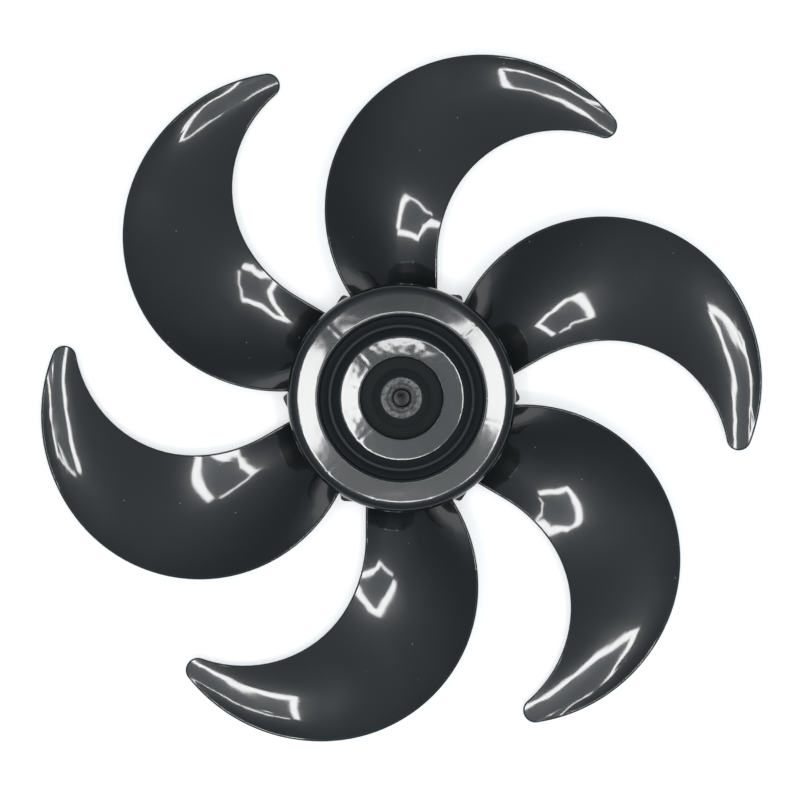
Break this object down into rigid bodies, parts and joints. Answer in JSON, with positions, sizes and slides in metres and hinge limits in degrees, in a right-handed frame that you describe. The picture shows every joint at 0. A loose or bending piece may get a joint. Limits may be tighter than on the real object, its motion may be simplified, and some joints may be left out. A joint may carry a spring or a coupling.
{
  "type": "axial fan impeller",
  "caption": "Axial fan impeller: forward-swept crescent blades round a rear-open cup hub with a metal shaft bush.",
  "frame": {"origin": "on the impeller's axis, in the plane of the hub's rear rim", "axes": "+Z along the axis from the rear rim to the front, the way the air leaves; +X and +Y across the blades, with one blade's root about +Y"},
  "size_m": [0.3622, 0.344, 0.042],
  "materials": {
    "wheel": "gloss, injection moulded",
    "bush": "as cast, matte"
  },
  "bodies": {
    "root": {"fan_wheel": "wheel", "shaft_bush": "bush"}
  },
  "joints": []
}
